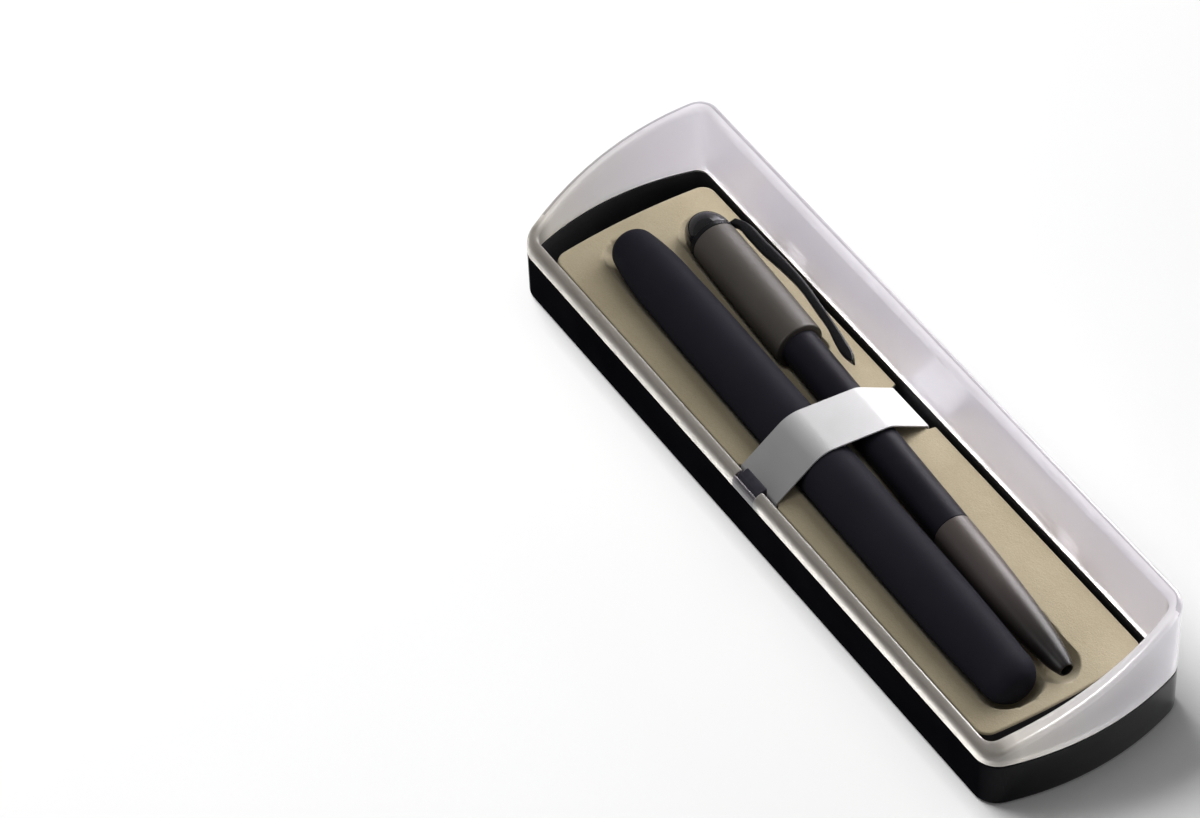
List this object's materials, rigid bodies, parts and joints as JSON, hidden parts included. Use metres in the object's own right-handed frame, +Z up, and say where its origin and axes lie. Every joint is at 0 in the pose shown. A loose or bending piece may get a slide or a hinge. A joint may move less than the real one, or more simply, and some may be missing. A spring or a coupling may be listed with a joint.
{
  "type": "pen box",
  "caption": "Oblong pen box: black base tub, open sloping silver hood hinged at the back, press catch in the low front lip, and a lift-out flocked insert holding pens under a strap.",
  "frame": {"origin": "on the underside plane, below the middle of the whole box's extent (the hinge barrels at the back included)", "axes": "+X along the box towards the pens' near ends, -Y the low front with the catch, +Y the high back with the hinges, +Z up"},
  "size_m": [0.1664, 0.0476, 0.0291],
  "materials": {
    "black_gloss": "polished black",
    "silver_gloss": "smooth silver coat with a faint lilac cast",
    "steel_pin": "plain drawn wire",
    "dark_grey_plastic": "dark grey, smooth",
    "beige_flock": "short flock",
    "grey_board": "plain board",
    "white_strap": "smooth white band",
    "black_matte": "matt black lacquer",
    "black_satin": "satin black lacquer",
    "black_lacquer": "polished black lacquer",
    "black_moulding": "moulded",
    "pale_plastic": "moulded",
    "taupe_satin": "satin taupe lacquer",
    "gunmetal": "polished warm gunmetal",
    "brass_tube": "drawn tube"
  },
  "bodies": {
    "base": {"base_shell": "black_gloss", "hinge_pins": "steel_pin"},
    "hood": {"hood_frame": "silver_gloss"},
    "catch": {"catch_tongue": "dark_grey_plastic"},
    "insert": {"insert_tray": "beige_flock", "insert_board": "grey_board", "pen_strap": "white_strap", "strap_staples": "steel_pin"},
    "rollerball": {"rollerball_barrel": "black_matte", "rollerball_grip_section": "black_moulding", "rollerball_refill": "pale_plastic"},
    "rollerball_cap": {"rollerball_cap": "black_matte", "rollerball_cap_liner": "pale_plastic"},
    "ballpoint_upper": {"ballpoint_crown": "black_lacquer", "ballpoint_upper_barrel": "taupe_satin", "ballpoint_clip": "black_lacquer", "ballpoint_twist_cam": "black_moulding"},
    "ballpoint_lower": {"ballpoint_lower_barrel": "black_satin", "ballpoint_nose_cone": "gunmetal"},
    "ballpoint_refill": {"ballpoint_refill": "brass_tube"}
  },
  "joints": [
    {"name": "hood_hinge", "type": "hinge", "parent": "base", "child": "hood", "pos_m": [0, 0.02235, 0.0111], "axis": [-1, 0, 0], "range_deg": [0, 100]},
    {"name": "catch_press", "type": "hinge", "parent": "base", "child": "catch", "pos_m": [0, -0.0207, 0.0033], "axis": [-1, 0, 0], "range_deg": [0, 3.5], "stiffness_Nm_per_rad": 0.06},
    {"name": "insert_lift", "type": "slide", "parent": "base", "child": "insert", "axis": [0, 0, 1], "range_m": [0, 0.045]},
    {"name": "rollerball_slide", "type": "slide", "parent": "insert", "child": "rollerball", "axis": [0.9998, -0.018, 0], "range_m": [-0.0006, 0.001]},
    {"name": "rollerball_cap_pull", "type": "slide", "parent": "rollerball", "child": "rollerball_cap", "axis": [-0.9998, 0.018, 0], "range_m": [0, 0.0011]},
    {"name": "ballpoint_slide", "type": "slide", "parent": "insert", "child": "ballpoint_upper", "axis": [0.9985, -0.0544, 0], "range_m": [-0.001, 0.001]},
    {"name": "ballpoint_twist", "type": "hinge", "parent": "ballpoint_upper", "child": "ballpoint_lower", "pos_m": [0.0011, 0.00545, 0.0114], "axis": [0.9985, -0.0544, 0], "range_deg": [0, 180]},
    {"name": "ballpoint_refill_travel", "type": "slide", "parent": "ballpoint_upper", "child": "ballpoint_refill", "axis": [0.9985, -0.0544, 0], "range_m": [0, 0.0036]}
  ],
  "couplings": [
    {"joint": "ballpoint_twist", "follows": "ballpoint_refill_travel", "rad_per_m": 872.66}
  ]
}
